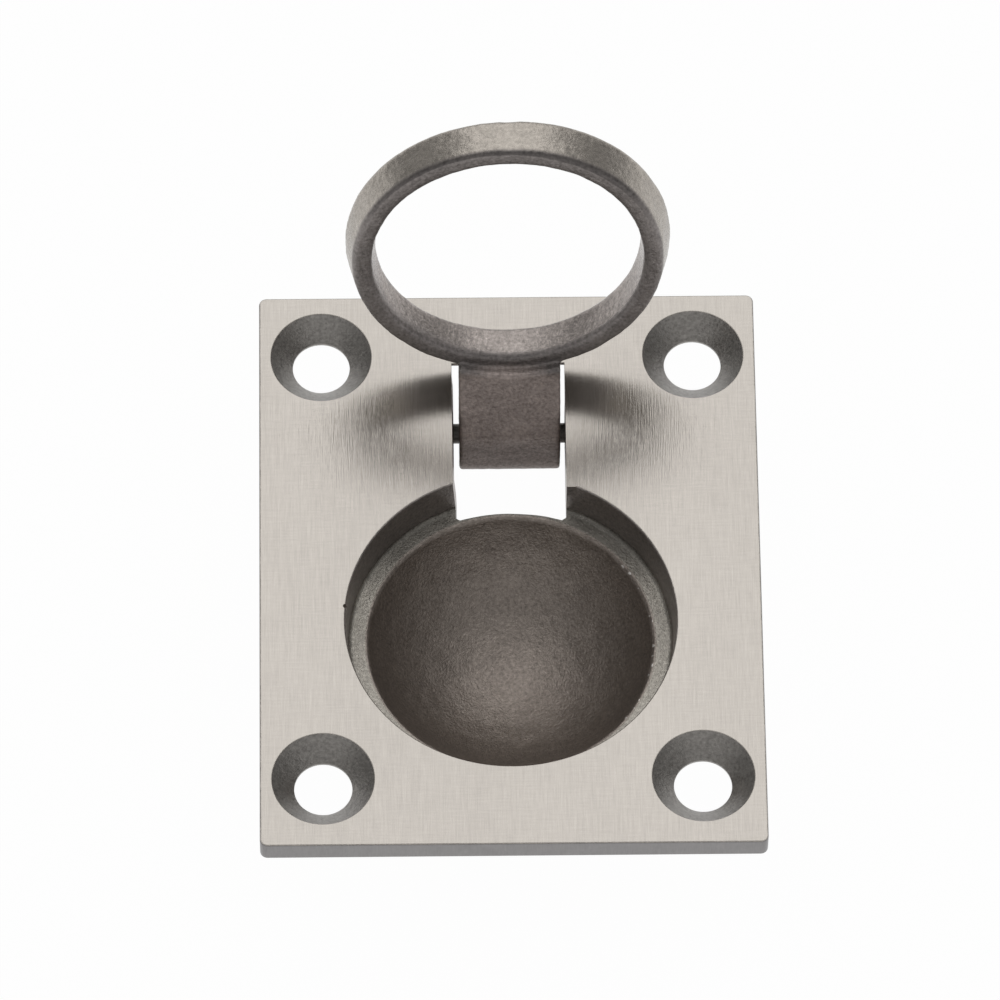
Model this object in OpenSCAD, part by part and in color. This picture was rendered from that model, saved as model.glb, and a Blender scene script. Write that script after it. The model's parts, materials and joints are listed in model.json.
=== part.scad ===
// Flush ring pull for a hatch, drawer or locker lid.
// A cast plate with a ring recess and a finger dish, a cast ring on a tab, and a pivot pin.
// Millimetres. The origin is the centre of the screw pattern on the plate's back face.
// +Z leaves the panel towards the hand, +Y runs from the dish towards the pivot.
// The ring is drawn raised, lying back against the end of its slot.

/* [Plate] */
// Width of the plate, along X
plate_w = 40; // [38:0.5:48]
// Length of the plate, along Y
plate_h = 50; // [49:0.5:60]
// Thickness of the plate
plate_t = 2; // [1.9:0.05:2.3]
// How far the middle of the plate lies below the middle of the screw pattern
plate_drop = 0.2; // [0:0.05:0.6]
// Radius of the corners, seen from the front
corner_r = 0.6; // [0.3:0.1:2]
// Radius of the front edge, softened by the brushing
edge_r = 0.15; // [0.05:0.05:0.25]

/* [Screw holes] */
// Distance of the hole centres from the plate's sides
side_margin = 5; // [4.6:0.1:5.4]
// Distance of the hole centres from the plate's ends, on average
end_margin = 5.75; // [5.4:0.05:6.1]
// Diameter of the screw holes
hole_d = 4.6; // [4:0.1:5]
// Diameter of the countersinks at the face
csk_d = 8.2; // [7.8:0.1:8.4]
// Angle of the countersinks
csk_angle = 90; // [88:1:94]

/* [Ring recess] */
// How far the middle of the recess lies below the middle of the screw pattern
recess_drop = 5; // [4.5:0.1:5.5]
// Depth of the ledge under the ring, from the face
recess_depth = 3.8; // [3.6:0.05:4.2]
// Draft of the recess wall
recess_draft = 4; // [1:0.5:5]
// Bevel round the recess at the face, which lets the ring swing past
recess_bevel = 0.12; // [0.05:0.01:0.25]
// Radius between the recess wall and the ledge
ledge_fillet = 0.4; // [0.1:0.05:0.6]
// Thickness of the collar round the recess, behind the plate
collar_wall = 1.4; // [1:0.1:2]

/* [Finger dish] */
// Diameter of the dish at the ledge
dish_d = 22.8; // [22:0.1:23]
// Depth of the dish under the ledge
dish_depth = 7.2; // [6:0.1:9]
// Radius of the dish's lip
dish_lip_r = 0.25; // [0.1:0.05:0.3]
// Thickness of the dish wall
dish_wall = 1.4; // [1.2:0.1:2]
// Radius of the blend where the dish leaves the ledge, on the back
back_fillet = 0.8; // [0.4:0.1:1.2]

/* [Slot] */
// Width of the slot that the tab swings in
slot_w = 9; // [8.8:0.1:9.6]
// Rim of the dish left standing at the slot's lower end
slot_rim = 0.35; // [0.3:0.05:0.4]
// Radius of the slot's lower end, seen from the front
slot_end_r = 15; // [13:0.5:16]
// Height of the stop edge at the slot's upper end, relieved below it
stop_land = 0.4; // [0.3:0.05:0.8]
// Angle of the relief below the stop edge, from the vertical
stop_relief = 45; // [30:5:50]
// Gap left between the tab and its stop
stop_gap = 0.03; // [0.02:0.01:0.08]

/* [Pivot] */
// Distance of the pin from the middle of the recess
pin_reach = 19.1; // [18.9:0.05:19.4]
// Depth of the pin below the plate's face
pin_depth = 3.6; // [3.5:0.05:3.9]
// Diameter of the pin
pin_d = 1.6; // [1.5:0.05:1.7]
// Radial play of the pin in the tab
pin_play = 0.05; // [0.03:0.01:0.08]
// Radial interference of the pin in the lugs
pin_press = 0.01; // [0:0.005:0.02]
// Bevel on the pin's ends
pin_bevel = 0.2; // [0.1:0.05:0.3]
// Thickness of each lug, along X
lug_w = 3; // [2.5:0.1:4]
// Radius of the lugs' round ends about the pin
lug_r = 2.3; // [2:0.1:2.6]
// Radius where the lugs' ends run into the plate's back
lug_root_r = 0.6; // [0.3:0.1:1]

/* [Ring] */
// Gap between the ring and the recess all round
ring_gap = 0.3; // [0.25:0.01:0.4]
// Outer diameter of the ring at its top face
ring_d = 25.8; // [25.4:0.1:26.2]
// Thickness of the ring
ring_t = 2.9; // [2.6:0.05:3]
// Width of the ring's top face
ring_top_w = 2.4; // [2.2:0.05:2.7]
// Width of the ring's underside
ring_under_w = 1.35; // [1.2:0.05:1.5]
// How much less the ring's underside measures round the outside, per side
ring_taper = 0.68; // [0.6:0.02:0.9]
// How far the folded ring lies below the plate's face
ring_sink = 0.1; // [0.05:0.01:0.2]
// Radius of the ring's upper edges
ring_top_r = 0.25; // [0.1:0.05:0.4]
// Radius of the ring's lower edges
ring_under_r = 0.35; // [0.1:0.05:0.4]

/* [Tab] */
// Gap on each side of the tab in its slot
tab_gap = 0.5; // [0.3:0.05:0.7]
// How far the tab's underside stands below the ring's underside
tab_step = 0.95; // [0.8:0.05:1.1]
// Length of the tab beyond the pin
tab_heel = 3; // [2.6:0.1:3.2]
// Metal under the pin, from the pin's axis to the underside
tab_under = 1.8; // [1.6:0.05:2]
// Length of the level underside between the pin and the slope
tab_flat = 1.5; // [1:0.1:2.5]
// Radius where the slope meets the level underside
under_r = 0.6; // [0.2:0.1:1]
// Radius of the heel's lower edge
heel_r = 1.3; // [0.8:0.1:1.4]
// Radius of the heel's upper edge
heel_top_r = 0.7; // [0.4:0.1:1]
// Radius of the tab's corners at the heel, seen from the front
heel_corner_r = 0.6; // [0.3:0.1:1]

/* [Motion] */
// How far the ring swings from flush to its stop
open_angle = 103.5; // [100:0.5:106]

/* [Hidden] */
$fn = 96;

over = 1;                        // how far a cut runs past the metal
arc_steps = 6;                   // straight steps in the arc of a rounded corner
plate_z = plate_t;               // height of the plate's face above its back
hole_pitch_x = plate_w - 2 * side_margin;
hole_pitch_y = plate_h - 2 * end_margin;
recess_y = -recess_drop;
recess_r = ring_d / 2 + ring_gap;
ledge_z = plate_z - recess_depth;
ledge_r = recess_r - recess_depth * tan(recess_draft);
collar_r = recess_r + collar_wall;
collar_z = ledge_z - dish_wall;
collar_round = 0.7 * collar_wall;

dish_r = dish_d / 2;
dish_ball_r = (dish_r * dish_r + dish_depth * dish_depth) / (2 * dish_depth);
dish_ball_z = ledge_z - dish_depth + dish_ball_r;
dish_back_r = dish_ball_r + dish_wall;

pin_y = recess_y + pin_reach;
pin_z = plate_z - pin_depth;
pin_len = slot_w + 2 * lug_w;
bore_r = pin_d / 2 + pin_play;
lug_bore_r = pin_d / 2 - pin_press;

ring_top_z = plate_z - ring_sink;
ring_under_z = ring_top_z - ring_t;
ring_r = ring_d / 2;
ring_under_outer = ring_r - ring_taper;
ring_under_inner = ring_under_outer - ring_under_w;
ring_top_inner = ring_r - ring_top_w;

tab_w = slot_w - 2 * tab_gap;
tab_top = ring_top_z - pin_z;                  // the tab's top face above the pin's axis
tab_throat = ring_under_z - tab_step - pin_z;  // its underside beside the ring, from the pin's axis

// The tab's top face, turned by open_angle, meets the stop edge at the plate's face.
stop_y = pin_y + (tab_top - pin_depth * cos(open_angle)) / sin(open_angle) + stop_gap;
slot_end_y = recess_y + dish_r + slot_rim;     // the slot's lower end on the middle line

// Helpers for rounded outlines

function unit(v) = v / norm(v);
function between(u, v) = acos(max(-1, min(1, unit(u) * unit(v))));
// The arc of radius r that rounds the corner b between a and c
function corner_arc(a, b, c, r) =
    let (half = between(a - b, c - b) / 2,
         back = r / tan(half),
         from = b + unit(a - b) * back,
         to = b + unit(c - b) * back,
         centre = b + unit(unit(a - b) + unit(c - b)) * r / sin(half),
         sweep = between(from - centre, to - centre))
    [for (i = [0 : arc_steps])
        let (t = sweep * i / arc_steps)
        centre + ((from - centre) * sin(sweep - t) + (to - centre) * sin(t)) / sin(sweep)];
// A polygon whose corner i is rounded to radii[i], or left sharp at 0
function rounded(points, radii) =
    let (n = len(points))
    [for (i = [0 : n - 1])
        each radii[i] > 0
            ? corner_arc(points[(i + n - 1) % n], points[i], points[(i + 1) % n], radii[i])
            : [points[i]]];

module rounded_polygon(points, radii) {
    polygon(rounded(points, radii));
}

module rounded_rectangle(w, h, r) {
    rounded_polygon([[-w / 2, -h / 2], [w / 2, -h / 2], [w / 2, h / 2], [-w / 2, h / 2]], [r, r, r, r]);
}

// An outline drawn as [y, z] becomes a bar along X, centred on x
module along_x(w, x = 0) {
    translate([x - w / 2, 0, 0])
        rotate([90, 0, 90])
            linear_extrude(height = w)
                children();
}

// An outline drawn as [x, z] becomes a bar along Y
module along_y(h) {
    translate([0, h / 2, 0])
        rotate([90, 0, 0])
            linear_extrude(height = h)
                children();
}

module at_recess() {
    translate([0, recess_y, 0]) children();
}

// A slab section with its two front edges softened
module slab_section(w) {
    rounded_polygon([[-w / 2, 0], [w / 2, 0], [w / 2, plate_t], [-w / 2, plate_t]],
                    [0, 0, edge_r, edge_r]);
}

module plate_slab() {
    translate([0, -plate_drop, 0])
        intersection() {
            translate([0, 0, -over])
                linear_extrude(height = plate_t + 2 * over)
                    rounded_rectangle(plate_w, plate_h, corner_r);
            along_y(plate_h + 2 * over) slab_section(plate_w);
            along_x(plate_w + 2 * over) slab_section(plate_h);
        }
}

// The metal behind the plate: a collar round the recess and the ball of the dish
module cup_back() {
    blend_z = collar_z - back_fillet;
    blend_x = sqrt(pow(dish_back_r + back_fillet, 2) - pow(dish_ball_z - blend_z, 2));
    touch = [0, dish_ball_z] + unit([blend_x, blend_z - dish_ball_z]) * dish_back_r;
    at_recess()
        rotate_extrude()
            union() {
                // collar with a rounded lower edge
                translate([0, collar_z + collar_round])
                    square([collar_r, plate_z / 2 - collar_z - collar_round]);
                translate([0, collar_z])
                    square([collar_r - collar_round, collar_round * 2]);
                translate([collar_r - collar_round, collar_z + collar_round])
                    circle(r = collar_round);
                // ball of the dish
                intersection() {
                    translate([0, dish_ball_z]) circle(r = dish_back_r);
                    translate([0, collar_z - dish_back_r]) square([dish_back_r, dish_back_r + dish_wall]);
                }
                // blend between the two
                difference() {
                    polygon([touch, [blend_x, collar_z], [touch[0] - back_fillet, collar_z + dish_wall / 2]]);
                    translate([blend_x, blend_z]) circle(r = back_fillet);
                }
            }
}

// The space in front: recess with draft, ledge and dish
module cup_front() {
    lip_over = 0.2;
    at_recess()
        rotate_extrude()
            union() {
                difference() {
                    polygon([
                        [0, plate_z],
                        [recess_r, plate_z],
                        [ledge_r, ledge_z],
                        [0, ledge_z]
                    ]);
                    // fillet between the wall and the ledge
                    difference() {
                        translate([ledge_r - ledge_fillet, ledge_z - over])
                            square([ledge_fillet + over, ledge_fillet + over]);
                        translate([ledge_r - ledge_fillet, ledge_z + ledge_fillet])
                            circle(r = ledge_fillet);
                        translate([0, ledge_z + ledge_fillet])
                            square([recess_r, over]);
                    }
                }
                intersection() {
                    translate([0, dish_ball_z]) circle(r = dish_ball_r);
                    translate([0, ledge_z - dish_ball_r])
                        square([dish_ball_r, dish_ball_r + lip_over]);
                }
                // bevel at the face
                polygon([
                    [0, plate_z - recess_bevel],
                    [recess_r, plate_z - recess_bevel],
                    [recess_r + recess_bevel + over, plate_z + over],
                    [0, plate_z + over]
                ]);
                // bevel that softens the dish's lip
                polygon([
                    [0, ledge_z + lip_over],
                    [dish_r + dish_lip_r, ledge_z + lip_over],
                    [dish_r + dish_lip_r, ledge_z],
                    [dish_r - dish_lip_r / 2, ledge_z - dish_lip_r],
                    [0, ledge_z - dish_lip_r]
                ]);
            }
}

module lug(side) {
    along_x(lug_w, side * (slot_w + lug_w) / 2)
        union() {
            translate([pin_y, pin_z]) circle(r = lug_r);
            translate([recess_y + ledge_r - collar_wall, pin_z - lug_r])
                square([pin_y - recess_y - ledge_r + collar_wall, plate_z / 2 - pin_z + lug_r]);
            translate([pin_y - lug_r, pin_z])
                square([2 * lug_r, plate_z / 2 - pin_z]);
            // cast radius at the root
            difference() {
                translate([pin_y, -lug_root_r])
                    square([lug_r + lug_root_r, plate_z / 2 + lug_root_r]);
                translate([pin_y + lug_r + lug_root_r, -lug_root_r])
                    circle(r = lug_root_r);
            }
        }
}

module screw_hole(x, y) {
    sink = (csk_d - hole_d) / 2 / tan(csk_angle / 2);
    translate([x, y, 0]) {
        translate([0, 0, -over])
            cylinder(d = hole_d, h = plate_t + 2 * over);
        translate([0, 0, plate_z - sink])
            cylinder(d1 = hole_d, d2 = csk_d + 2 * over * tan(csk_angle / 2), h = sink + over);
    }
}

// Cut for the tab: it follows the dish's rim at one end and has the stop edge at the other
module slot_cut() {
    bottom_z = ledge_z - dish_depth - 2 * dish_wall;
    difference() {
        translate([-slot_w / 2, recess_y, bottom_z])
            cube([slot_w, stop_y - recess_y, plate_z + over - bottom_z]);
        translate([0, slot_end_y - slot_end_r, bottom_z - over])
            cylinder(r = slot_end_r, h = plate_z + 3 * over - bottom_z);
    }
}

module stop_relief_cut() {
    land_z = plate_z - stop_land;
    run = (land_z + over) * tan(stop_relief);
    along_x(slot_w)
        polygon([[stop_y - over, land_z], [stop_y, land_z], [stop_y + run, -over], [stop_y - over, -over]]);
}

module cast_plate() {
    color("lightgray")
        difference() {
            union() {
                plate_slab();
                cup_back();
                lug(-1);
                lug(1);
            }
            cup_front();
            slot_cut();
            stop_relief_cut();
            for (x = [-1, 1], y = [-1, 1])
                screw_hole(x * hole_pitch_x / 2, y * hole_pitch_y / 2);
            translate([-pin_len, pin_y, pin_z])
                rotate([0, 90, 0])
                    cylinder(r = lug_bore_r, h = 2 * pin_len);
        }
}

// The ring, folded flush
module ring_hoop() {
    at_recess()
        rotate_extrude()
            rounded_polygon(
                [[ring_under_inner, ring_under_z], [ring_under_outer, ring_under_z],
                 [ring_r, ring_top_z], [ring_top_inner, ring_top_z]],
                [ring_under_r, ring_under_r, ring_top_r, ring_top_r]);
}

// The tab, folded flush: flat on top, stepped below the ring and thicker round the pin
module ring_tab() {
    inner_y = -pin_reach + ring_under_inner;
    seat_r = (ring_under_outer + ring_under_inner) / 2;
    difference() {
        intersection() {
            translate([0, pin_y, pin_z])
                along_x(tab_w)
                    rounded_polygon(
                        [[inner_y, tab_throat], [-pin_reach + ring_under_outer, tab_throat],
                         [-tab_flat, -tab_under], [tab_heel, -tab_under],
                         [tab_heel, tab_top], [inner_y, tab_top]],
                        [0, 0, under_r, heel_r, heel_top_r, 0]);
            translate([0, pin_y, pin_z - tab_under - over])
                linear_extrude(height = tab_under + tab_top + 2 * over)
                    rounded_polygon(
                        [[-tab_w / 2, inner_y], [tab_w / 2, inner_y], [tab_w / 2, tab_heel], [-tab_w / 2, tab_heel]],
                        [0, 0, heel_corner_r, heel_corner_r]);
        }
        // the step under the ring follows the ring's lower edge
        at_recess()
            translate([0, 0, ring_under_z - tab_step - tab_under])
                cylinder(r = ring_under_outer - ring_under_r / 2, h = tab_step + tab_under + ring_under_r);
        // inside the ring nothing of the tab shows
        at_recess()
            translate([0, 0, ring_under_z - over])
                cylinder(r = seat_r, h = ring_t + 2 * over);
    }
}

module ring_handle() {
    color("darkgray")
        translate([0, pin_y, pin_z])
            rotate([-open_angle, 0, 0])
                translate([0, -pin_y, -pin_z])
                    difference() {
                        union() {
                            ring_hoop();
                            ring_tab();
                        }
                        translate([-slot_w, pin_y, pin_z])
                            rotate([0, 90, 0])
                                cylinder(r = bore_r, h = 2 * slot_w);
                    }
}

module pivot_pin() {
    color("gray")
        translate([-pin_len / 2, pin_y, pin_z])
            rotate([0, 90, 0])
                rotate_extrude()
                    polygon([
                        [0, 0],
                        [pin_d / 2 - pin_bevel, 0],
                        [pin_d / 2, pin_bevel],
                        [pin_d / 2, pin_len - pin_bevel],
                        [pin_d / 2 - pin_bevel, pin_len],
                        [0, pin_len]
                    ]);
}

cast_plate();
ring_handle();
pivot_pin();
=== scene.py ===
# %% [markdown]
# A flush ring pull, cast in stainless steel.
# The real thing is three pieces: a cast plate with a recess and a finger dish, a cast ring
# on a tab, and a short pin that the ring swings on. This notebook builds all three again
# with softer edges and cast surfaces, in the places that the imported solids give.

# %% Load the solids
import json
import math

import bmesh
import bpy
from mathutils import Matrix, Vector, noise


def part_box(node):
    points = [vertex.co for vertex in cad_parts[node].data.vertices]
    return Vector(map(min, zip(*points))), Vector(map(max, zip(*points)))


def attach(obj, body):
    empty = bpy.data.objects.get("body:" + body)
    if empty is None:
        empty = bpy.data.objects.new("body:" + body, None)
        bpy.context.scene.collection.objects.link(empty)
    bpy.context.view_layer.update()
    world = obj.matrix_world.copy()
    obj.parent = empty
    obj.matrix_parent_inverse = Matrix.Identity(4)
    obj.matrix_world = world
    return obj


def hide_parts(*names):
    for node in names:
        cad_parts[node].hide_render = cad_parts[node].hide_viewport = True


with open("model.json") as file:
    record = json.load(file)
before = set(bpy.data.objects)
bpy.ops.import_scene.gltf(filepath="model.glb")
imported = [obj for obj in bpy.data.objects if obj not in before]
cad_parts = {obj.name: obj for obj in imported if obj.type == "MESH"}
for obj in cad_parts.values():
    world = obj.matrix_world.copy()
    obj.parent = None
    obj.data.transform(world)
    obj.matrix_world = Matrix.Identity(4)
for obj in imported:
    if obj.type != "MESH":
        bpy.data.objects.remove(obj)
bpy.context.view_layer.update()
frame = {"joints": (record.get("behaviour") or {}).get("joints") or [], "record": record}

# %% [markdown]
# Lengths are in millimetres while a piece is modelled, because that is how such a part is
# drawn, and each finished mesh is scaled to metres once. What the solids already say, such as
# the height of the plate's face, the pin's place and the screw pattern, is read from them.

# %% Sizes
MM = 0.001
plate_low, plate_high = (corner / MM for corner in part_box("cast_plate"))
pivot = frame["joints"][0]
pin_y, pin_z = pivot["pos_m"][1] / MM, pivot["pos_m"][2] / MM
open_angle = math.radians(pivot["range_deg"][1])
screws = next(m for m in frame["record"]["mounts"] if m["name"] == "screw_holes")["dims"]

face_z = plate_high.z
corner_r, edge_r = 0.6, 0.15
hole_r, sink_r = screws["hole_r_mm"], 4.1
recess_y, recess_r, recess_depth, recess_draft = pin_y - 19.1, 13.2, 3.8, 4.0
recess_bevel, recess_fillet = 0.12, 0.4
collar_wall, collar_round, back_blend = 1.4, 0.98, 0.8
dish_r, dish_depth, dish_lip, dish_wall = 11.4, 7.2, 0.1, 1.4
slot_w, slot_rim, slot_end_r, stop_land, stop_gap = 9.0, 0.35, 15.0, 0.4, 0.03
lug_w, lug_r, lug_root_r, pin_r, pin_play = 3.0, 2.3, 0.6, 0.8, 0.05
ring_r, ring_t, ring_sink, ring_taper = 12.9, 2.9, 0.1, 0.68
ring_top_w, ring_under_w, ring_top_edge, ring_under_edge = 2.4, 1.35, 0.25, 0.35
tab_w, tab_step, tab_heel, tab_under, tab_flat = 8.0, 0.95, 3.0, 1.8, 1.5

# What hand work and the mould left uneven on the pictured piece.
slot_extra, slot_corner, slot_lean, tab_shift = 0.14, 0.35, 0.066, 0.16
nick_r, nick_along, burr_w = 0.2, 1.3, 0.75

ledge_z = face_z - recess_depth
ledge_r = recess_r - recess_depth * math.tan(math.radians(recess_draft))
ball_r = (dish_r ** 2 + dish_depth ** 2) / (2 * dish_depth)
ball_z = ledge_z - dish_depth + ball_r
ring_top_z = face_z - ring_sink
ring_under_z = ring_top_z - ring_t
tab_top = ring_top_z - pin_z
stop_rise = tab_top - (face_z - pin_z) * math.cos(open_angle)
stop_y = pin_y + stop_rise / math.sin(open_angle) + stop_gap
OVER = 1.0  # how far a cutting shape stands out past the metal, so that no faces coincide
print("face", round(face_z, 3), "stop edge", round(stop_y, 3), "ball radius", round(ball_r, 3))

# %% [markdown]
# Every section here is a chain of straight lines and arcs. A small pen draws it: a line is
# one extruded vertex, and an arc is the tip of the chain spun about the arc's centre. The pen
# works in the plane of X and Z, and the finished chain is then spun round an axis or filled
# and extruded into a bar.


# %% A pen for sections
class Pen:
    """Draws a chain of edges in the plane of X and Z, one line or arc at a time."""

    def __init__(self, x, z):
        self.bm = bmesh.new()
        self.start = self.tip = self.bm.verts.new((x, 0, z))

    def line(self, x, z):
        made = bmesh.ops.extrude_vert_indiv(self.bm, verts=[self.tip])
        self.tip = made["verts"][0]
        self.tip.co = (x, 0, z)
        return self

    def arc(self, x, z, degrees, steps):
        """Turns the tip about (x, z), anticlockwise when degrees is positive."""
        made = bmesh.ops.spin(
            self.bm, geom=[self.tip], cent=(x, 0, z), axis=(0, -1, 0),
            angle=math.radians(degrees), steps=steps,
        )
        self.tip = next(v for v in made["geom_last"] if isinstance(v, bmesh.types.BMVert))
        return self

    def close(self):
        self.bm.edges.new((self.tip, self.start))
        bmesh.ops.remove_doubles(self.bm, verts=self.bm.verts[:], dist=1e-5)
        return self.bm


def rounded_loop(corners, steps=6):
    """A closed chain through corners of (x, z, radius), each rounded to its radius."""
    pen = None
    for i, (x, z, radius) in enumerate(corners):
        here = Vector((x, z))
        before = (Vector(corners[i - 1][:2]) - here).normalized()
        after = (Vector(corners[(i + 1) % len(corners)][:2]) - here).normalized()
        half = before.angle(after) / 2
        arrive = here + before * radius / math.tan(half)
        pen = pen.line(*arrive) if pen else Pen(*arrive)
        if radius:
            centre = here + (before + after).normalized() * radius / math.sin(half)
            leave = here + after * radius / math.tan(half)
            swing = math.degrees((leave - centre).angle_signed(arrive - centre))
            pen.arc(*centre, swing, steps)
    return pen.close()


# %% [markdown]
# Three ways to turn a chain into a solid. A spin about an upright axis gives everything
# round, such as the recess, the dish and the ring. A filled chain pushed sideways gives the
# tab and the lugs, which are seen from the side. The same, laid flat and pushed upwards,
# gives the slot, which is seen from the front.


# %% From chains to solids
def tidy(bm):
    """Merges doubled vertices and turns every face outward."""
    bmesh.ops.remove_doubles(bm, verts=bm.verts[:], dist=1e-4)
    bmesh.ops.recalc_face_normals(bm, faces=bm.faces[:])
    return bm


def moved(bm, x, y, z):
    bmesh.ops.translate(bm, verts=bm.verts[:], vec=(x, y, z))
    return bm


def swung(bm, degrees, axis):
    bmesh.ops.rotate(
        bm, verts=bm.verts[:], matrix=Matrix.Rotation(math.radians(degrees), 3, axis)
    )
    return bm


def turned(bm, steps, x=0.0, y=0.0):
    """Spins the chain once round an upright axis and moves it to x, y."""
    bmesh.ops.spin(
        bm, geom=bm.verts[:] + bm.edges[:], cent=(0, 0, 0), axis=(0, 0, 1),
        angle=math.tau, steps=steps, use_merge=True,
    )
    return tidy(moved(bm, x, y, 0))


def pushed(bm, width):
    """Fills the closed chain and pushes it along Y through width, half to each side."""
    bmesh.ops.contextual_create(bm, geom=bm.edges[:])
    moved(bm, 0, -width / 2, 0)
    made = bmesh.ops.extrude_face_region(bm, geom=bm.faces[:])["geom"]
    far_side = [v for v in made if isinstance(v, bmesh.types.BMVert)]
    bmesh.ops.translate(bm, verts=far_side, vec=(0, width, 0))
    return tidy(bm)


def side_bar(bm, width, x=0.0):
    """A chain of (y, z) pushed along X, centred on x."""
    return tidy(moved(swung(pushed(bm, width), 90, "Z"), x, 0, 0))


def flat_bar(bm, low, high):
    """A chain of (x, y) pushed along Z, from low to high."""
    return tidy(moved(swung(pushed(bm, high - low), -90, "X"), 0, 0, (low + high) / 2))


def rod(radius, length, place, along="Z", segments=64):
    """A round bar centred on place."""
    bm = bmesh.new()
    bmesh.ops.create_cone(
        bm, cap_ends=True, segments=segments, radius1=radius, radius2=radius, depth=length
    )
    if along == "X":
        swung(bm, 90, "Y")
    return moved(bm, *place)


# %% [markdown]
# A casting is one solid with hollows cut into it, so the pieces are joined and cut with
# Blender's Boolean modifier. Each step reads the modified mesh straight back, so that nothing
# is left live on the finished piece.


# %% Join and cut
def draft(bm, name="draft"):
    """A scratch object that holds the mesh while it is worked on."""
    mesh = bpy.data.meshes.new(name)
    bm.to_mesh(mesh)
    bm.free()
    thing = bpy.data.objects.new(name, mesh)
    bpy.context.scene.collection.objects.link(thing)
    return thing


def settle(thing):
    """Replaces the object's mesh by what its modifiers make of it."""
    bpy.context.view_layer.update()
    seen = thing.evaluated_get(bpy.context.evaluated_depsgraph_get())
    mesh = bpy.data.meshes.new_from_object(seen)
    thing.modifiers.clear()
    thing.data = mesh
    return thing


def combine(thing, operation, *others):
    """Joins (UNION), cuts (DIFFERENCE) or keeps what is shared (INTERSECT), one by one."""
    for bm in others:
        other = draft(bm)
        step = thing.modifiers.new("step", "BOOLEAN")
        step.operation = operation
        step.solver = "EXACT"
        step.object = other
        settle(thing)
        bpy.data.objects.remove(other)
    return thing


def reopen(thing):
    """The object's mesh as a bmesh again; the scratch object goes."""
    bm = bmesh.new()
    bm.from_mesh(thing.data)
    bpy.data.objects.remove(thing)
    return bm


# %% [markdown]
# A sand or investment casting is never quite true. Its skin waves by a few hundredths of a
# millimetre, which shows in how light runs over it. The wave is moved into the vertices,
# along their normals, with Blender's seeded noise, so it is the same on each run.


# %% Cast skin
def roughen(bm, depth, size, where=lambda place: 1.0):
    """Moves each vertex along its normal by up to depth, in waves about size long."""
    bm.normal_update()
    for vert in bm.verts:
        share = where(vert.co)
        if share:
            wave = noise.fractal(vert.co / size, 0.6, 2.0, 3)
            vert.co += vert.normal * wave * depth * share
    return bm


# %% [markdown]
# The plate starts as a slab with its four upright corners rounded and its front edge
# softened by the brushing belt. The collar of the recess and the ball of the dish stand
# behind it, and two lugs carry the pin.

# %% Plate: the metal
ROUND = 200


def slab():
    bm = bmesh.new()
    bmesh.ops.create_cube(bm, size=1.0)
    size = (plate_high.x - plate_low.x, plate_high.y - plate_low.y, face_z)
    bmesh.ops.scale(bm, verts=bm.verts[:], vec=size)
    moved(bm, (plate_high.x + plate_low.x) / 2, (plate_high.y + plate_low.y) / 2, face_z / 2)
    upright = [e for e in bm.edges if abs(e.verts[0].co.z - e.verts[1].co.z) > face_z / 2]
    bmesh.ops.bevel(
        bm, geom=upright, offset=corner_r, segments=6, profile=0.5, affect="EDGES", material=-1
    )
    front = [e for e in bm.edges if all(abs(v.co.z - face_z) < 1e-5 for v in e.verts)]
    bmesh.ops.bevel(
        bm, geom=front, offset=edge_r, segments=3, profile=0.5, affect="EDGES", material=-1
    )
    return tidy(bm)


def lug(side):
    """The block that carries one end of the pin, with a fillet where it meets the plate."""
    root_y = recess_y + ledge_r - collar_wall
    back_y = pin_y + lug_r
    pen = Pen(root_y, face_z / 2).line(root_y, pin_z - lug_r).line(pin_y, pin_z - lug_r)
    pen.arc(pin_y, pin_z, 90, 12).line(back_y, -lug_root_r)
    pen.arc(back_y + lug_root_r, -lug_root_r, -90, 6).line(back_y + lug_root_r, face_z / 2)
    return side_bar(pen.close(), lug_w, side * (slot_w + lug_w) / 2)


def cup_back():
    back_r = ball_r + dish_wall
    collar_z = ledge_z - dish_wall
    blend_z = collar_z - back_blend
    blend_x = math.sqrt((back_r + back_blend) ** 2 - (ball_z - blend_z) ** 2)
    lean = math.degrees(math.atan2(blend_x, ball_z - blend_z))
    collar_r = recess_r + collar_wall
    pen = Pen(0, face_z / 2).line(collar_r, face_z / 2)
    pen.line(collar_r, collar_z + collar_round)
    pen.arc(collar_r - collar_round, collar_z + collar_round, -90, 8)
    pen.line(blend_x, collar_z)
    pen.arc(blend_x, blend_z, lean, 6)
    pen.arc(0, ball_z, -lean, 40)
    return turned(pen.bm, ROUND, y=recess_y)


# %% [markdown]
# The hollow in front is one spin: the recess wall with its draft, the ledge that the ring
# lies over, the lip and the ball of the dish. The countersinks are spins too. The slot is
# cut from the front, its lower end round the dish and its upper end at the stop edge, and it
# is relieved behind that edge so that the tab's back can lie against it.


# %% Plate: the hollows
def cup_front():
    floor_r = ledge_r - recess_fillet
    pen = Pen(0, face_z + OVER).line(recess_r + OVER, face_z + OVER)
    pen.line(recess_r, face_z - recess_bevel)
    pen.line(ledge_r, ledge_z + recess_fillet)
    pen.arc(floor_r, ledge_z + recess_fillet, -90, 5)
    for i in range(3):
        pen.line(floor_r - (floor_r - dish_r - dish_lip) * (i + 1) / 3, ledge_z)
    lip_z = ledge_z - dish_lip
    lip_x = math.sqrt(ball_r ** 2 - (ball_z - lip_z) ** 2)
    pen.line(lip_x, lip_z)
    pen.arc(0, ball_z, -math.degrees(math.asin(lip_x / ball_r)), 56)
    return turned(pen.bm, ROUND, y=recess_y)


def screw_hole(x, y):
    sink = sink_r - hole_r
    pen = Pen(0, face_z + OVER).line(sink_r + OVER, face_z + OVER)
    pen.line(hole_r, face_z - sink).line(hole_r, -OVER).line(0, -OVER)
    return turned(pen.bm, 96, x, y)


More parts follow.
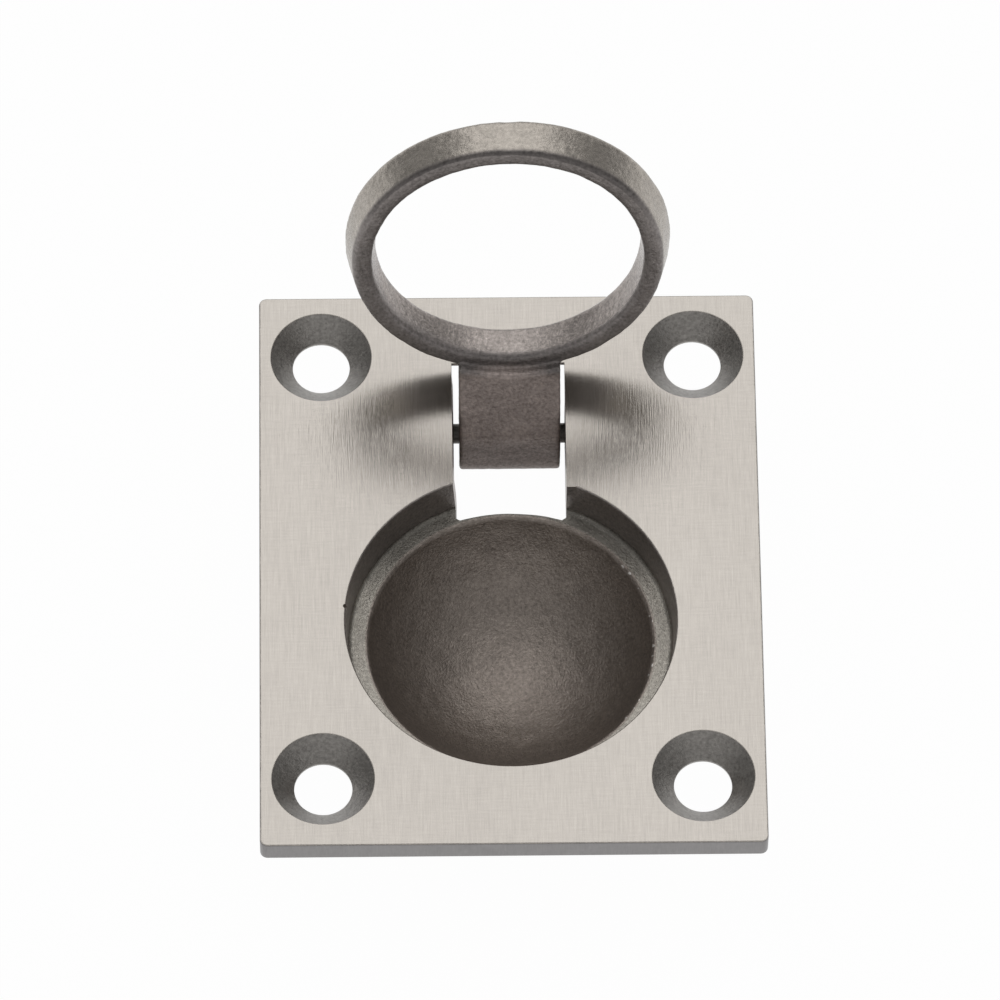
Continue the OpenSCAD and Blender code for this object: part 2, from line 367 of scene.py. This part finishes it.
def slot():
    """The tab's way through the plate; its left wall leans in towards the back."""
    left, right = -slot_w / 2, slot_w / 2 + slot_extra
    centre_y = recess_y + dish_r + slot_rim - slot_end_r
    corner_y = centre_y + math.sqrt(slot_end_r ** 2 - right ** 2) + slot_corner
    near_right, near_left = right - slot_corner, left + slot_corner
    swing = math.degrees(math.asin(near_right / slot_end_r) - math.asin(near_left / slot_end_r))
    pen = Pen(right, stop_y).line(right, corner_y)
    pen.line(near_right, centre_y + math.sqrt(slot_end_r ** 2 - near_right ** 2))
    pen.arc(0, centre_y, swing, 24)
    pen.line(left, corner_y).line(left, stop_y)
    bm = flat_bar(pen.close(), ledge_z - dish_depth - 3 * OVER, face_z + OVER)
    for vert in bm.verts:
        if vert.co.x < 0:
            vert.co.x *= 1 - slot_lean * (face_z - vert.co.z) / (slot_w / 2)
    return bm


def stop_relief():
    """Room behind the slot's upper edge, so that the tab lies on the edge's land."""
    land = face_z - stop_land
    pen = Pen(stop_y - OVER, land).line(stop_y, land)
    pen.line(stop_y + land + OVER, -OVER).line(stop_y - OVER, -OVER)
    return side_bar(pen.close(), slot_w + slot_extra, slot_extra / 2)


# %% [markdown]
# Put together, the plate is the slab, cup and lugs joined, less the hollows. The cast hollows
# are roughened before they are cut, so the dish and ledge get the skin and the belt-ground
# face stays flat. Two small marks of the pictured piece are cut and joined last.


# %% Plate: the casting
def below_face(place):
    return 1.0 if place.z < face_z - 0.5 else 0.0


def nick():
    """A small dent in the recess's left rim."""
    place = (-recess_r + nick_r / 5, recess_y + nick_along, face_z)
    return rod(nick_r, 6 * nick_r, place, segments=16)


def burr():
    """Metal left at the slot's right corner, where the rim runs straight for a short way."""
    hair, under, height = 0.003, 0.2, 1.4
    left, right = slot_w / 2 + slot_extra + hair, slot_w / 2 + slot_extra + burr_w
    near, far = (recess_y + math.sqrt(recess_r ** 2 - x ** 2) for x in (right, left))
    pen = Pen(left, near).line(right, near).line(right, near + under).line(left, far + under)
    return flat_bar(pen.close(), face_z - height, face_z - hair)


def cast_plate():
    thing = draft(slab())
    combine(thing, "UNION", roughen(cup_back(), 0.04, 2.5), lug(-1), lug(1))
    combine(thing, "DIFFERENCE", roughen(cup_front(), 0.035, 1.6, below_face))
    combine(thing, "DIFFERENCE", slot(), stop_relief())
    across, along = screws["spacing_x_mm"] / 2, screws["spacing_y_mm"] / 2
    for x in (-across, across):
        combine(thing, "DIFFERENCE", screw_hole(x, -along), screw_hole(x, along))
    combine(thing, "DIFFERENCE", rod(pin_r, slot_w + 3 * lug_w, (0, pin_y, pin_z), "X"), nick())
    combine(thing, "UNION", burr())
    bm = reopen(thing)
    bmesh.ops.remove_doubles(bm, verts=bm.verts[:], dist=1e-4)
    # A cut leaves vertices on nearly straight edges, where the triangles of two faces could
    # fold over each other. Those vertices go.
    plain = [v for v in bm.verts if len(v.link_edges) == 2]
    idle = [v for v in plain if v.calc_edge_angle() < math.radians(30)]
    bmesh.ops.dissolve_verts(bm, verts=idle)
    return bm


# %% [markdown]
# The ring is a spin of a four-sided section: wide and flat on top, narrower below, tapered
# outside so that it can swing out of the recess. The tab is a bar seen from the side. Both
# are drawn folded flush, as they are cast, with the tab stepped below the ring.


# %% Ring and tab
under_r = ring_r - ring_taper  # outer radius of the ring's underside
under_inner_r = under_r - ring_under_w


def hoop():
    section = rounded_loop([
        (under_inner_r, ring_under_z, ring_under_edge),
        (under_r, ring_under_z, ring_under_edge),
        (ring_r, ring_top_z, ring_top_edge),
        (ring_r - ring_top_w, ring_top_z, ring_top_edge),
    ])
    return turned(section, 240, y=recess_y)


def tab():
    inner_y, outer_y = recess_y + under_inner_r, recess_y + under_r
    throat_z, back_z, heel_y = ring_under_z - tab_step, pin_z - tab_under, pin_y + tab_heel
    side = rounded_loop([
        (inner_y, throat_z, 0),
        (outer_y, throat_z, 0),
        (pin_y - tab_flat, back_z, 2.0),
        (heel_y, back_z, 1.3),
        (heel_y, ring_top_z, 0.7),
        (inner_y, ring_top_z, 0),
    ], steps=8)
    half = tab_w / 2
    plan = rounded_loop([
        (half, inner_y, 0),
        (half, heel_y, 0.6),
        (-half, heel_y, 0.6),
        (-half, inner_y, 0),
    ], steps=8)
    thing = draft(side_bar(side, tab_w))
    combine(thing, "INTERSECT", flat_bar(plan, back_z - OVER, ring_top_z + OVER))
    step_height, ring_height = 6.0, 12.0
    step_z = ring_under_z + ring_under_edge - step_height / 2
    step_r, inner_r = under_r - ring_under_edge / 2, under_r - ring_under_w / 2
    below_ring = rod(step_r, step_height, (0, recess_y, step_z), segments=240)
    in_ring = rod(inner_r, ring_height, (0, recess_y, ring_under_z), segments=240)
    bore = rod(pin_r + pin_play, 2 * tab_w, (0, pin_y, pin_z), "X")
    combine(thing, "DIFFERENCE", below_ring, in_ring, bore)
    return moved(reopen(thing), tab_shift, 0, 0)


# %% [markdown]
# Where ring and tab meet, a casting has soft inner corners. A voxel remesh melts the two
# closed shapes into one skin of even quads, and a few rounds of smoothing turn every edge and
# corner into the small radius that metal poured into a mould has. The skin is then swollen
# by what the smoothing took off, and shaped a little as by a file.


# %% Ring: the casting
VOXEL = 0.115
MELT = 0.06
SMOOTHINGS = 8


def melted(*parts):
    joined = bmesh.new()
    for part in parts:
        mesh = bpy.data.meshes.new("part")
        part.to_mesh(mesh)
        part.free()
        joined.from_mesh(mesh)
        bpy.data.meshes.remove(mesh)
    thing = draft(joined)
    skin = thing.modifiers.new("skin", "REMESH")
    skin.mode = "VOXEL"
    skin.voxel_size = VOXEL
    settle(thing)
    bm = reopen(thing)
    for _ in range(SMOOTHINGS):
        bmesh.ops.smooth_vert(
            bm, verts=bm.verts[:], factor=0.5, use_axis_x=True, use_axis_y=True, use_axis_z=True
        )
    bm.normal_update()
    for vert in bm.verts:
        vert.co += vert.normal * MELT
    return bm


def eased(value, low, high):
    share = min(1.0, max(0.0, (value - low) / (high - low)))
    return share * share * (3 - 2 * share)


def hand_finish(place):
    """Where a vertex of the folded ring ends up after fettling by hand."""
    x, y, z = place
    on_ring = eased(pin_y - 4 - y, 0, 6)
    height = (z - ring_under_z) / ring_t
    thicker = 0.06 + 0.16 * x / ring_r
    radial = Vector((x, y - recess_y, 0)).normalized()
    upper_left = 0.14 * max(0.0, radial.dot(Vector((-0.7, 0.7, 0)))) ** 2 * (1 - height)
    lower_right = 0.18 * max(0.0, radial.dot(Vector((0.62, -0.78, 0)))) ** 6
    far_end = y < recess_y - ring_r + 1.0
    dip = 0.07 * max(0.0, 1 - ((x - 0.1) / 0.8) ** 2) if far_end else 0.0
    outward = 0.06 * height + upper_left + lower_right - dip
    return Vector((x, y, z + height * on_ring * thicker)) + radial * outward * on_ring


def below_top(place):
    return 0.0 if place.z > ring_top_z - 0.3 else 1.0


def ring_handle():
    bm = roughen(melted(hoop(), tab()), 0.03, 2.2)
    roughen(bm, 0.012, 0.5, below_top)
    for vert in bm.verts:
        vert.co = hand_finish(vert.co)
    turn = Matrix.Rotation(-open_angle, 3, "X")
    bmesh.ops.rotate(bm, verts=bm.verts[:], cent=(0, pin_y, pin_z), matrix=turn)
    return bm


# %% [markdown]
# The pin is a length of drawn wire with its ends bevelled so that it starts into the lugs.


# %% Pin
def pivot_pin():
    bm = rod(pin_r, slot_w + 2 * lug_w, (0, pin_y, pin_z), "X", 48)
    ends = [e for e in bm.edges if abs(e.verts[0].co.x - e.verts[1].co.x) < 1e-6]
    bmesh.ops.bevel(
        bm, geom=ends, offset=0.2, segments=2, profile=0.5, affect="EDGES", material=-1
    )
    return tidy(bm)


# %% [markdown]
# A finished piece gets smooth shading with sharp creases kept, rides on its body and stands
# for its solid. Weighted normals keep the plate's large faces flat in the light.


# %% Finish a piece
def piece(bm, name, body):
    bmesh.ops.scale(bm, verts=bm.verts[:], vec=(MM, MM, MM))
    mesh = bpy.data.meshes.new(name)
    bm.to_mesh(mesh)
    bm.free()
    mesh.shade_smooth()
    mesh.set_sharp_from_angle(angle=math.radians(32))
    thing = bpy.data.objects.new(name, mesh)
    bpy.context.scene.collection.objects.link(thing)
    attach(thing, body)
    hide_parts(name)
    triangles = sum(len(p.vertices) - 2 for p in mesh.polygons)
    print(name, "vertices", len(mesh.vertices), "triangles", triangles)
    return thing


plate = piece(cast_plate(), "cast_plate", "plate")
flat = plate.modifiers.new("flat faces", "WEIGHTED_NORMAL")
flat.keep_sharp = True
flat.weight = 100
ring = piece(ring_handle(), "ring_handle", "ring")
pin = piece(pivot_pin(), "pivot_pin", "plate")

# %% [markdown]
# Shader maths is easier to read as sums than as a web of nodes. This class holds one socket,
# and each operator adds the Math node that it stands for.


# %% Sums in the shader
class Value:
    """A number that varies over a surface; its operators add Math nodes."""

    def __init__(self, web, socket):
        self.web, self.socket = web, socket

    def _math(self, operation, *values):
        made = self.web.node("ShaderNodeMath", {"operation": operation}, *values)
        return Value(self.web, made.outputs[0])

    def __add__(self, other):
        return self._math("ADD", self, other)

    def __sub__(self, other):
        return self._math("SUBTRACT", self, other)

    def __rsub__(self, other):
        return self._math("SUBTRACT", other, self)

    def __mul__(self, other):
        return self._math("MULTIPLY", self, other)

    def __abs__(self):
        return self._math("ABSOLUTE", self)

    __radd__, __rmul__ = __add__, __mul__

    def root(self):
        return self._math("SQRT", self)

    def larger(self, other):
        return self._math("MAXIMUM", self, other)

    def rise(self, low, high):
        """0 below low and 1 above high, with a soft step between them."""
        step = {"interpolation_type": "SMOOTHSTEP"}
        made = self.web.node("ShaderNodeMapRange", step, self, low, high, 0.0, 1.0)
        return Value(self.web, made.outputs[0])


class Web:
    """The node tree of a material or a world, with short ways to add nodes."""

    def __init__(self, owner):
        owner.use_nodes = True
        self.tree = owner.node_tree

    def node(self, kind, settings, *values):
        """Adds a node with its settings, and feeds its sockets in their order."""
        made = self.tree.nodes.new(kind)
        for name, value in settings.items():
            setattr(made, name, value)
        for socket, value in zip(made.inputs, values):
            self.feed(socket, value)
        return made

    def feed(self, socket, value):
        if isinstance(value, Value):
            value = value.socket
        if isinstance(value, bpy.types.NodeSocket):
            self.tree.links.new(value, socket)
        elif value is not None:
            socket.default_value = value

    def rays(self, *kinds):
        """A value for each kind of light ray: 1 on such a ray and 0 on others."""
        path = self.node("ShaderNodeLightPath", {})
        return [Value(self, path.outputs[f"Is {kind} Ray"]) for kind in kinds]

    def blend(self, share, first, second, output):
        """Sends the mix of two shaders to the output: first where share is 0."""
        made = self.node("ShaderNodeMixShader", {}, share, first.outputs[0], second.outputs[0])
        self.feed(self.tree.nodes[output].inputs["Surface"], made.outputs[0])


# %% [markdown]
# A finish is a material whose colour, gloss and small relief follow the object's own
# coordinates, in millimetres. Its grain is noise, stretched along one axis where a belt has
# run over the metal.


# %% Finishes
class Finish(Web):
    """A material and its Principled shader."""

    def __init__(self, name, **fixed):
        self.material = bpy.data.materials.new(name)
        super().__init__(self.material)
        self.shader = self.tree.nodes["Principled BSDF"]
        self.set(**fixed)
        self.place = self.scaled(self.node("ShaderNodeTexCoord", {}).outputs["Object"], 1 / MM)

    def scaled(self, vector, factor):
        """A place or a colour times a number."""
        if isinstance(vector, tuple):
            vector = vector[:3]
        made = self.node("ShaderNodeVectorMath", {"operation": "SCALE"}, vector, None, None, factor)
        return made.outputs[0]

    def axes(self):
        made = self.node("ShaderNodeSeparateXYZ", {}, self.place)
        return [Value(self, output) for output in made.outputs]

    def grain(self, scale, detail=3.0, stretch=(1, 1, 1), roughness=0.5, shift=(0, 0, 0)):
        """Noise from 0 to 1 about 0.5, with scale in waves per millimetre."""
        spot = self.node("ShaderNodeMapping", {}, self.place, shift, (0, 0, 0), stretch).outputs[0]
        made = self.node("ShaderNodeTexNoise", {}, spot, None, scale, detail, roughness)
        return Value(self, made.outputs[0])

    def layer(self, share, under, colour, tone=1.0):
        """Lays a colour times tone over what is under it, where share is 1."""
        made = self.node("ShaderNodeMix", {"data_type": "RGBA"})
        for index, value in ((0, share), (6, under), (7, self.scaled(colour, tone))):
            self.feed(made.inputs[index], value)
        return made.outputs[2]

    def set(self, **sockets):
        for name, value in sockets.items():
            self.feed(self.shader.inputs[name.replace("_", " ")], value)

    def bump(self, height, distance):
        made = self.node("ShaderNodeBump", {})
        self.feed(made.inputs["Distance"], distance * MM)
        self.feed(made.inputs["Height"], height)
        self.set(Normal=made.outputs[0])


# %% [markdown]
# The plate has five finishes on one casting, told apart by where they are: the belt-ground
# face with its fine grain along Y, the ground rim, painted darker than the face as painted
# shade, the turned countersinks, the ledge and the blasted dish. Masks come from the distance
# to the recess's axis and from the height.


# %% Plate: its finishes
def paint(red, green, blue):
    return (red, green, blue, 1.0)


def reach(x, y):
    """How far a point is from an upright axis, by its offsets along X and Y."""
    return (x * x + y * y).root()


def plate_finish():
    skin = Finish("satin_casting")
    x, y, z = skin.axes()
    middle_y = (plate_high.y + plate_low.y) / 2
    half_x, half_y = plate_high.x, plate_high.y - middle_y
    side_x, side_y = abs(x), abs(y - middle_y)
    from_recess = reach(x, y - recess_y)
    across, along = screws["spacing_x_mm"] / 2, screws["spacing_y_mm"] / 2
    from_hole = reach(side_x - across, abs(y) - along)

    # Masks, each 1 on its own surface.
    face = z.rise(face_z - 0.05, face_z - 0.01)
    below = 1 - z.rise(face_z - 0.06, face_z - 0.02)
    sink = (1 - from_hole.rise(sink_r + 0.05, sink_r + 0.1)) * below
    corner_reach = half_x + half_y - corner_r
    rim = side_x.rise(half_x - 0.06, half_x - 0.03)
    rim = rim.larger(side_y.rise(half_y - 0.06, half_y - 0.03))
    rim = rim.larger((side_x + side_y).rise(corner_reach, corner_reach + 0.05)) * below
    in_recess = (1 - from_recess.rise(recess_r + 0.05, recess_r + 0.1)) * below
    wall = in_recess * z.rise(ledge_z + 0.25, ledge_z + 0.5)
    dish = (1 - from_recess.rise(dish_r + 0.1, dish_r + 0.35)) * below
    ledge = in_recess * (1 - wall) * (1 - dish)
    # Painted shade: the ledge's end by the slot, where the ring stands over it, is painted darker.
    painted_ledge_shade = y.rise(recess_y + 4, recess_y + 9)
    # Painted highlights: tiny near-white glints on the right side of the dish's lip.
    on_lip = 1 - abs(from_recess - dish_r - 0.02).rise(0.06, 0.14)
    painted_lip_glints = on_lip * skin.grain(1.9, 1.0, shift=(8, 1, 4)).rise(0.6, 0.66)
    painted_lip_glints = painted_lip_glints * x.rise(8.5, 9.5) * z.rise(ledge_z - 1.0, ledge_z - 0.6) * below

    # Grain: long strokes of the belt on the face, and round grain on the cast skin.
    streak = skin.grain(1.0, 3.0, (3.2, 0.22, 1.0), 0.6)
    hair = skin.grain(1.0, 2.0, (12.0, 0.45, 1.0), 0.6, (7, 3, 0))
    weave = skin.grain(1.0, 2.0, (0.5, 7.0, 1.0), 0.6, (2, 9, 0))
    cloud = skin.grain(0.12, 2.0, (1.0, 0.5, 1.0))
    pebble = skin.grain(5.0, 3.0, roughness=0.72)
    speck = skin.grain(3.6, 3.0, shift=(3, 5, 1))
    patch = skin.grain(0.45, 3.0)
    turning = skin.grain(1.0, 2.0, (1.0, 1.0, 14.0))
    cast_tone = pebble * 0.7 + speck + patch * 0.3
    face_tone = 0.62 + streak * 0.2 + hair * 0.3 + weave * 0.16 + cloud * 0.1

    colour = skin.scaled(paint(0.285, 0.247, 0.218), cast_tone)
    # The ledge keeps its cast grain and carries the painted shade at its end by the slot.
    ledge_tone_and_shade = cast_tone * (1 - painted_ledge_shade * 0.5)
    colour = skin.layer(ledge, colour, paint(0.39, 0.366, 0.325), ledge_tone_and_shade)
    colour = skin.layer(wall, colour, paint(0.34, 0.309, 0.29), cast_tone)
    # The painted highlights on the lip.
    colour = skin.layer(painted_lip_glints, colour, paint(0.95, 0.92, 0.88))
    # Painted shade: the rim is the face's ground metal painted darker, standing in for the shaded
    # floor that it mirrors.
    colour = skin.layer(rim, colour, paint(0.245, 0.236, 0.235), face_tone)
    colour = skin.layer(sink, colour, paint(0.295, 0.28, 0.263), cast_tone * (0.85 + turning * 0.3))
    colour = skin.layer(face, colour, paint(0.49, 0.457, 0.418), face_tone)
    worked = face.larger(rim).larger(sink)
    gloss_grain = (streak - 0.5) * face * 0.06 + (pebble - 0.5) * 0.1
    skin.set(
        Base_Color=colour,
        Roughness=0.3 - face * 0.11 - ledge * 0.04 + gloss_grain,
        Metallic=0.8 + worked * 0.1,
    )
    height = pebble * 0.7 * (1 - worked) + hair * 0.13 * face.larger(rim)
    skin.bump(height + (turning * 0.15 + pebble * 0.6) * sink, 0.1)
    return skin.material


# %% [markdown]
# The ring keeps its grain in its own folded frame, so its pattern is turned back with the
# swing before it is read. Its top and outer rim were belted, while the underside and the tab
# kept the dark blasted skin.


# %% Ring: its finishes
def ring_finish():
    skin = Finish("ring_casting")
    turn = skin.node(
        "ShaderNodeVectorRotate", {"rotation_type": "X_AXIS"},
        skin.place, (0, pin_y, pin_z), None, open_angle,
    )
    skin.place = turn.outputs[0]
    x, y, z = skin.axes()
    from_axis = reach(x, y - recess_y)

    # Masks, each 1 on its own surface.
    outside = from_axis.rise(under_r - 0.25, under_r + 0.05)
    outside = outside * z.rise(ring_under_z + 0.1, ring_under_z + 0.5)
    outside = outside * (1 - y.rise(recess_y + 9, recess_y + 10))
    top = z.rise(ring_top_z - 0.12, ring_top_z - 0.04)
    worked = outside.larger(top)
    inside = 1 - from_axis.rise(under_inner_r - 0.15, under_inner_r + 0.1)
    inside = inside * z.rise(ring_under_z + 0.2, ring_under_z + 0.6)
    on_tab = 1 - abs(x - tab_shift).rise(tab_w / 2 + 0.05, tab_w / 2 + 0.3)
    on_tab = on_tab * y.rise(recess_y + 11.5, recess_y + 12.2)
    painted_heel_shade = y.rise(pin_y - tab_flat - 0.4, pin_y + 0.3)
    crease = from_axis.rise(under_r - 0.24, under_r - 0.12) * (1 - worked)
    # Painted shade: a dark line along the crease at the underside's outer edge, as its edge shadow,
    # and the ring's end by the tab painted darker, as shade near the hinge.
    soot_and_painted_shade = crease * 0.5 * (1 - y.rise(recess_y - 9, recess_y - 2))
    soot_and_painted_shade = soot_and_painted_shade + y.rise(recess_y + 8, recess_y + 12) * 0.32

    pebble = skin.grain(5.0, 3.0, roughness=0.72)
    speck = skin.grain(3.6, 3.0, shift=(3, 5, 1))
    patch = skin.grain(0.5, 3.0)
    belt = skin.grain(1.0, 3.0, (3.0, 3.0, 14.0), 0.6)
    cast_tone = pebble * 0.8 + speck * 1.3 + patch * 0.5 - 0.3
    belt_tone = 0.16 + belt * 0.6 + patch * 0.3 + speck * 0.8

    colour = skin.scaled(paint(0.262, 0.238, 0.228), cast_tone * (1 - soot_and_painted_shade))
    # Painted shade: the tab is painted darker towards its heel, where it faces the shaded floor
    # under the plate.
    colour = skin.layer(on_tab, colour, paint(0.375, 0.314, 0.289), cast_tone * (1 - painted_heel_shade * 0.38))
    colour = skin.layer(inside, colour, paint(0.355, 0.317, 0.295), cast_tone)
    colour = skin.layer(worked, colour, paint(0.39, 0.357, 0.319), belt_tone)
    skin.set(
        Base_Color=colour,
        Roughness=0.42 - worked * 0.15 - inside * 0.22 + (pebble - 0.5) * 0.12,
        Metallic=0.8 - on_tab * 0.3 + worked * 0.06,
    )
    skin.bump(pebble * 0.6 * (1 - worked * 0.5) + belt * 0.15 * worked, 0.09)
    return skin.material


def pin_finish():
    skin = Finish("drawn_wire", Metallic=0.85)
    streak = skin.grain(1.0, 3.0, (0.6, 9.0, 9.0), 0.6)
    soot_and_painted_shade = skin.grain(1.2, 3.0)
    skin.set(
        # Painted shade: the wire's colour is painted dark for the narrow gaps between lugs and tab
        # where it shows; the noise over it is a random soot tone.
        Base_Color=skin.scaled(paint(0.16, 0.15, 0.14), 0.7 + streak * 0.3 + soot_and_painted_shade * 0.3),
        Roughness=0.36 + soot_and_painted_shade * 0.16,
    )
    skin.bump(streak, 0.03)
    return skin.material


for thing, material in ((plate, plate_finish()), (ring, ring_finish()), (pin, pin_finish())):
    thing.data.materials.clear()
    thing.data.materials.append(material)

# %% [markdown]
# The photograph was taken from far off with a long lens, from the dish's side and well above
# the plate. The camera is placed by its distance, azimuth and elevation about the point it
# looks at, with the slight roll of the picture.

# %% Camera
look_at, distance = Vector((-0.73, 5.87, 2.0)) * MM, 0.8035
azimuth, elevation, roll = (math.radians(degrees) for degrees in (-1.378, 60.41, 0.728))
away = Vector((
    math.sin(azimuth) * math.cos(elevation),
    -math.cos(azimuth) * math.cos(elevation),
    math.sin(elevation),
))
lens = bpy.data.cameras.new("camera")
lens.sensor_width = 36.0
lens.lens = 361.3
lens.clip_start = 0.01
camera = bpy.data.objects.new("camera", lens)
bpy.context.scene.collection.objects.link(camera)
tilt = away.to_track_quat("Z", "Y").to_matrix().to_4x4()
rolled = tilt @ Matrix.Rotation(roll, 4, "Z")
camera.matrix_world = Matrix.Translation(look_at + away * distance) @ rolled
bpy.context.scene.camera = camera
print("camera", distance, "m away,", round(math.degrees(elevation), 1), "degrees up")

# %% [markdown]
# The part lies on a pale floor, touching it with the ball of its dish. To the camera and in
# reflections the floor is white, as in the picture, and it keeps a trace of the shadow.

# %% Floor
floor_size = 3.0
bm = bmesh.new()
bmesh.ops.create_grid(bm, x_segments=1, y_segments=1, size=floor_size / 2)
bmesh.ops.translate(bm, verts=bm.verts[:], vec=(0, 0, plate_low.z * MM))
floor_mesh = bpy.data.meshes.new("floor")
bm.to_mesh(floor_mesh)
bm.free()
floor = bpy.data.objects.new("floor", floor_mesh)
bpy.context.scene.collection.objects.link(floor)

paper = bpy.data.materials.new("paper")
web = Web(paper)
camera_ray, glossy_ray, clear_ray = web.rays("Camera", "Glossy", "Transmission")
matt = web.tree.nodes["Principled BSDF"]
matt.inputs["Base Color"].default_value = paint(0.85, 0.85, 0.85)
matt.inputs["Roughness"].default_value = 0.9
seen = camera_ray.larger(glossy_ray).larger(clear_ray)
web.blend(seen * 0.98, matt, web.node("ShaderNodeEmission", {}), "Material Output")
floor_mesh.materials.append(paper)
print("floor", floor_size, "m wide, at", round(plate_low.z, 2), "mm")

# %% [markdown]
# Polished metal shows what stands round it, so the studio is part of the finish. A wide
# softbox stands where the plate's face mirrors it to the camera, and it fades out over the
# dish as the ball turns away. The room is grey, which gives the ring's round its dark flanks,
# with pale walls before and behind the part. To the camera and through glass the room is white.

# %% Light
studio = bpy.data.worlds.new("studio")
bpy.context.scene.world = studio
web = Web(studio)
camera_ray, glossy_ray, clear_ray = web.rays("Camera", "Glossy", "Transmission")
toward = web.node("ShaderNodeTexCoord", {}).outputs["Generated"]
y = Value(web, web.node("ShaderNodeSeparateXYZ", {}, toward).outputs["Y"])
walls = y.rise(0.55, 0.85).larger((0 - y).rise(0.25, 0.7)) * 0.5
room = web.tree.nodes["Background"]
room.inputs["Color"].default_value = paint(0.3, 0.3, 0.3)
white = web.node("ShaderNodeBackground", {}, paint(1.0, 1.0, 1.0))
web.blend(camera_ray.larger(clear_ray).larger(glossy_ray * walls), room, white, "World Output")

# The plate's face mirrors the camera's own direction about the upright into the softbox.
mirrored = Vector((-away.x, -away.y, away.z))
softbox_size, softbox_far, softbox_glow = 0.75, 0.7, 1.0
softbox = bpy.data.lights.new("softbox", "AREA")
softbox.size = softbox.size_y = softbox_size
softbox.energy = math.pi * softbox_size ** 2 * softbox_glow
lamp = bpy.data.objects.new("softbox", softbox)
aim = mirrored.to_track_quat("Z", "Y").to_matrix().to_4x4()
lamp.matrix_world = Matrix.Translation(mirrored * softbox_far) @ aim
bpy.context.scene.collection.objects.link(lamp)
print("softbox", softbox_size, "m wide, lit at", round(softbox.energy, 3), "W")

# %% [markdown]
# The picture's colours are taken as they are, without a film curve.

# %% Colour and closing
bpy.context.scene.view_settings.view_transform = "Standard"
